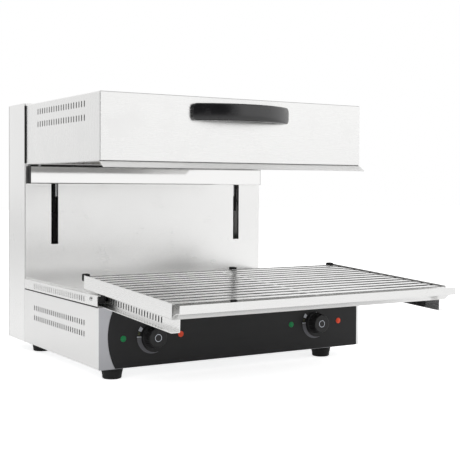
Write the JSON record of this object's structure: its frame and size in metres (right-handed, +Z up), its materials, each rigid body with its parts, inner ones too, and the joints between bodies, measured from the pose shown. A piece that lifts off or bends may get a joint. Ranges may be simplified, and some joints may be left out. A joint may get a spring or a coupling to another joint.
{
  "type": "cheese melter",
  "caption": "Rise-and-fall cheese melter: heated head that slides on a rear column over a base with controls, and a grid tray that slides out of the base.",
  "frame": {"origin": "on the worktop under the feet, at the middle of the footprint with the tray pulled out and the head at the top, as in the picture", "axes": "+X to the right as seen from the front, +Y from the front to the back, +Z up"},
  "size_m": [0.6048, 0.792, 0.53],
  "materials": {
    "stainless": "brushed stainless sheet",
    "bright_steel": "polished steel",
    "galvanised": "galvanised sheet, dull",
    "element_sheath": "heat darkened sheath",
    "black_enamel": "black enamel",
    "black_plastic": "satin black moulding",
    "overlay_film": "printed black film",
    "cream_plastic": "cream moulding",
    "nylon": "black nylon",
    "black_rubber": "matt rubber",
    "green_lens": "clear coloured lens",
    "orange_lens": "clear coloured lens",
    "mineral_wool": "matted fibre"
  },
  "bodies": {
    "base": {"base_shell": "stainless", "front_fascia": "stainless", "control_overlay": "overlay_film", "floor_pan": "galvanised", "feet": "black_rubber", "foot_screws": "bright_steel", "energy_regulator_left": "cream_plastic", "energy_regulator_right": "cream_plastic", "green_lamps": "green_lens", "orange_lamps": "orange_lens", "terminal_block": "cream_plastic", "cable_gland": "black_plastic", "tray_runner_left": "stainless", "tray_runner_right": "stainless", "runner_stops": "nylon", "runner_screws": "bright_steel", "column_shell": "stainless", "top_cap": "stainless", "back_cover": "stainless", "cover_screws": "bright_steel", "guide_rods": "bright_steel", "rod_brackets": "galvanised", "gas_cylinders": "black_enamel"},
    "head": {"head_casing": "stainless", "head_back": "stainless", "head_frame": "stainless", "reflector": "bright_steel", "insulation": "mineral_wool", "heating_element_left": "element_sheath", "heating_element_right": "element_sheath", "element_combs": "galvanised", "handle": "black_plastic", "handle_screws": "bright_steel", "crossbar": "stainless", "crossbar_screws": "bright_steel", "lift_arm_left": "galvanised", "lift_arm_right": "galvanised", "arm_screws": "bright_steel", "guide_bushes": "nylon", "carriage_beam": "galvanised", "gas_rods": "bright_steel"},
    "tray_glides": {"front_glides": "nylon"},
    "tray": {"tray_rail_left": "stainless", "tray_rail_right": "stainless", "rear_glides": "nylon", "tray_front": "stainless", "tray_rear": "stainless", "pan_bearers": "galvanised", "drip_pan": "bright_steel", "tray_buffers": "black_rubber"},
    "grid": {"cooking_grid": "stainless"},
    "knob_left_body": {"knob_left": "black_plastic", "regulator_shaft_left": "bright_steel"},
    "knob_right_body": {"knob_right": "black_plastic", "regulator_shaft_right": "bright_steel"}
  },
  "joints": [
    {"name": "head_lift", "type": "slide", "parent": "base", "child": "head", "axis": [0, 0, 1], "range_m": [-0.13, 0]},
    {"name": "tray_tilt", "type": "hinge", "parent": "base", "child": "tray_glides", "pos_m": [0, -0.09598, 0.155], "axis": [1, 0, 0], "range_deg": [-2.9, 0]},
    {"name": "tray_slide", "type": "slide", "parent": "tray_glides", "child": "tray", "axis": [0, 0.9987, 0.0506], "range_m": [0, 0.289]},
    {"name": "grid_lift", "type": "slide", "parent": "tray", "child": "grid", "axis": [0, -0.0506, 0.9987], "range_m": [0, 0.04]},
    {"name": "knob_left_turn", "type": "hinge", "parent": "base", "child": "knob_left_body", "pos_m": [-0.192, -0.11598, 0.0745], "axis": [0, 1, 0], "range_deg": [0, 280]},
    {"name": "knob_right_turn", "type": "hinge", "parent": "base", "child": "knob_right_body", "pos_m": [0.184, -0.11598, 0.0745], "axis": [0, 1, 0], "range_deg": [0, 280]}
  ],
  "couplings": [
    {"joint": "tray_tilt", "follows": "tray_slide", "rad_per_m": -0.175}
  ]
}
